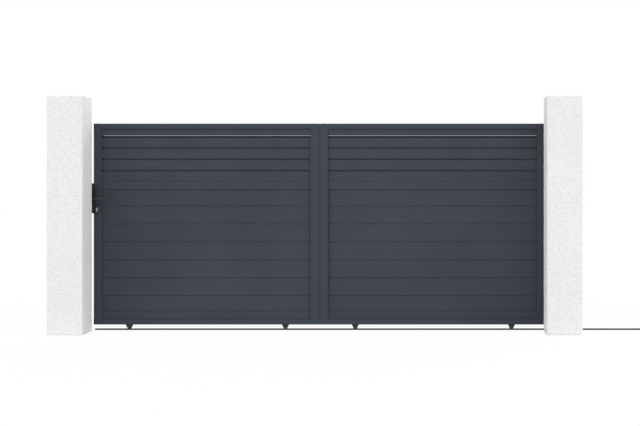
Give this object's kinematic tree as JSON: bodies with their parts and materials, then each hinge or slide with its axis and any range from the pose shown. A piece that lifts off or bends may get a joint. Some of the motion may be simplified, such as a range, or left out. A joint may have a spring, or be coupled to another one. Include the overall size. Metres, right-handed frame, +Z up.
{
  "type": "sliding driveway gate",
  "caption": "Sliding driveway gate: a louvred and planked aluminium leaf on grooved wheels, running on a ground track behind two rendered pillars, with a lever lock.",
  "frame": {"origin": "middle of the left pillar's foot, on the ground", "axes": "+X along the gate towards the storage side, +Y from the street into the drive, +Z up"},
  "size_m": [7.331, 0.4273, 1.8],
  "materials": {
    "white_render": "matte",
    "anthracite_coat": "matte",
    "track_coat": "satin",
    "black_nylon": "matte",
    "black_steel": "satin",
    "zinc_steel": "satin",
    "black_furniture": "satin",
    "nickel_brass": "satin",
    "stop_rubber": "matte"
  },
  "bodies": {
    "root": {"left_pillar": "white_render", "right_pillar": "white_render", "front_rail": "track_coat", "storage_rail": "track_coat", "rail_end_stop": "black_steel", "end_stop_pad": "stop_rubber", "lock_keeper": "black_steel", "guide_bracket": "black_steel", "guide_rollers": "black_nylon", "guide_pins": "zinc_steel"},
    "leaf": {"top_rail": "anthracite_coat", "bottom_rail": "anthracite_coat", "rail_end_caps": "black_nylon", "upper_tail_guide": "black_nylon", "lower_tail_guide": "black_nylon", "leading_stile": "anthracite_coat", "left_centre_stile": "anthracite_coat", "right_centre_stile": "anthracite_coat", "trailing_stile": "anthracite_coat", "centre_joint_strip": "anthracite_coat", "tail_strip": "anthracite_coat", "left_upper_crossbar": "anthracite_coat", "left_middle_crossbar": "anthracite_coat", "left_lower_crossbar": "anthracite_coat", "right_upper_crossbar": "anthracite_coat", "right_middle_crossbar": "anthracite_coat", "right_lower_crossbar": "anthracite_coat", "left_louvres": "anthracite_coat", "right_louvres": "anthracite_coat", "left_planks": "anthracite_coat", "right_planks": "anthracite_coat", "wheel_fork_1": "black_steel", "wheel_fork_2": "black_steel", "wheel_fork_3": "black_steel", "wheel_fork_4": "black_steel", "wheel_axles": "black_steel", "outer_backplate": "black_furniture", "inner_backplate": "black_furniture", "lock_cylinder": "nickel_brass", "lock_faceplate": "zinc_steel"},
    "wheel_1": {"wheel_1": "black_nylon"},
    "wheel_2": {"wheel_2": "black_nylon"},
    "wheel_3": {"wheel_3": "black_nylon"},
    "wheel_4": {"wheel_4": "black_nylon"},
    "lever": {"outer_lever": "black_furniture", "inner_lever": "black_furniture", "lever_spindle": "zinc_steel"}
  },
  "joints": [
    {"name": "leaf_slide", "type": "slide", "parent": "root", "child": "leaf", "axis": [1, 0, 0], "range_m": [0, 3.35]},
    {"name": "wheel_1_spin", "type": "hinge", "parent": "leaf", "child": "wheel_1", "pos_m": [0.407, 0.21, 0.0243], "axis": [0, 1, 0], "continuous": true},
    {"name": "wheel_2_spin", "type": "hinge", "parent": "leaf", "child": "wheel_2", "pos_m": [1.622, 0.21, 0.0243], "axis": [0, 1, 0], "continuous": true},
    {"name": "wheel_3_spin", "type": "hinge", "parent": "leaf", "child": "wheel_3", "pos_m": [2.166, 0.21, 0.0243], "axis": [0, 1, 0], "continuous": true},
    {"name": "wheel_4_spin", "type": "hinge", "parent": "leaf", "child": "wheel_4", "pos_m": [3.381, 0.21, 0.0243], "axis": [0, 1, 0], "continuous": true},
    {"name": "lever_turn", "type": "hinge", "parent": "leaf", "child": "lever", "pos_m": [0.162, 0.21, 1.022], "axis": [0, 1, 0], "range_deg": [0, 45], "stiffness_Nm_per_rad": 1.5, "springref_deg": -11.46}
  ],
  "couplings": [
    {"joint": "wheel_1_spin", "follows": "leaf_slide", "rad_per_m": 69.93},
    {"joint": "wheel_2_spin", "follows": "leaf_slide", "rad_per_m": 69.93},
    {"joint": "wheel_3_spin", "follows": "leaf_slide", "rad_per_m": 69.93},
    {"joint": "wheel_4_spin", "follows": "leaf_slide", "rad_per_m": 69.93}
  ]
}
